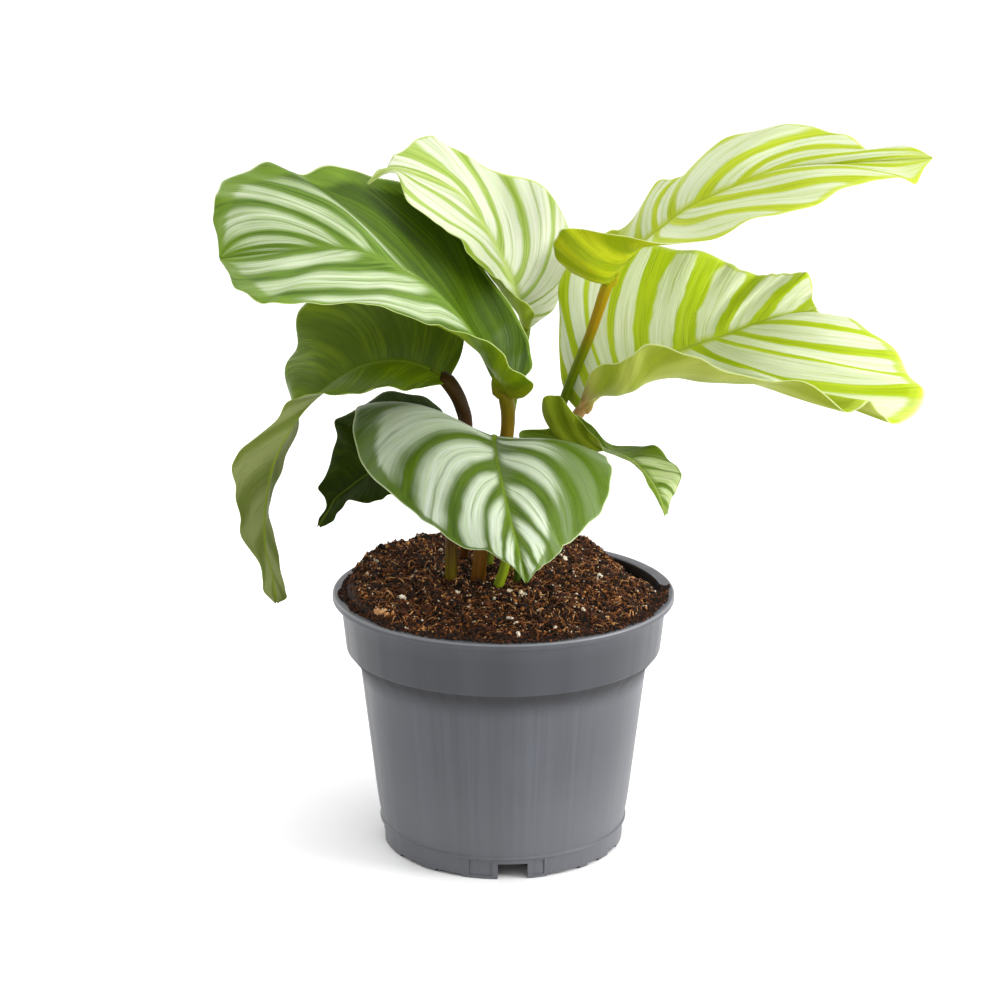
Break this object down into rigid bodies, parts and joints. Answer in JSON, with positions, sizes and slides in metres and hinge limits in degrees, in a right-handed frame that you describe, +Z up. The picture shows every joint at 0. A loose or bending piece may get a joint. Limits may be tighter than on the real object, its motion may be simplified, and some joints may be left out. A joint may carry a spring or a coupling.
{
  "type": "potted calathea",
  "caption": "Prayer plant with broad striped leaves on upright stems, standing in soil in a plain tapered nursery pot with a collar and lip.",
  "frame": {"origin": "middle of the flat centre foot under the pot, on the surface that the pot stands on", "axes": "+Z up along the pot's axis, -Y towards the front, which the picture shows"},
  "size_m": [0.3436, 0.1926, 0.3559],
  "materials": {
    "pot_plastic": "moulded grey plastic, half matt, with faint upright streaks",
    "potting_soil": "moist dark brown peat and bark fibre with pale perlite grains",
    "leaf_silver_green": "silvery pale green with darker green stripes along the side veins, softly glossy",
    "leaf_yellow_green": "near white bands between broad yellow-green stripes, softly glossy",
    "leaf_dark_green": "olive to dark green with faint stripes, grey-green below",
    "stem": "smooth green and brown leaf stalk"
  },
  "bodies": {
    "root": {"pot": "pot_plastic", "soil": "potting_soil", "stem_upper_left": "stem", "leaf_upper_left": "leaf_silver_green", "stem_top": "stem", "leaf_top": "leaf_silver_green", "stem_upper_right": "stem", "leaf_upper_right": "leaf_yellow_green", "stem_right": "stem", "leaf_right": "leaf_yellow_green", "stem_front": "stem", "leaf_front": "leaf_silver_green", "stem_left": "stem", "leaf_left": "leaf_dark_green", "stem_small_left": "stem", "leaf_small_left": "leaf_dark_green", "stem_small_right": "stem", "leaf_small_right": "leaf_dark_green"}
  },
  "joints": []
}
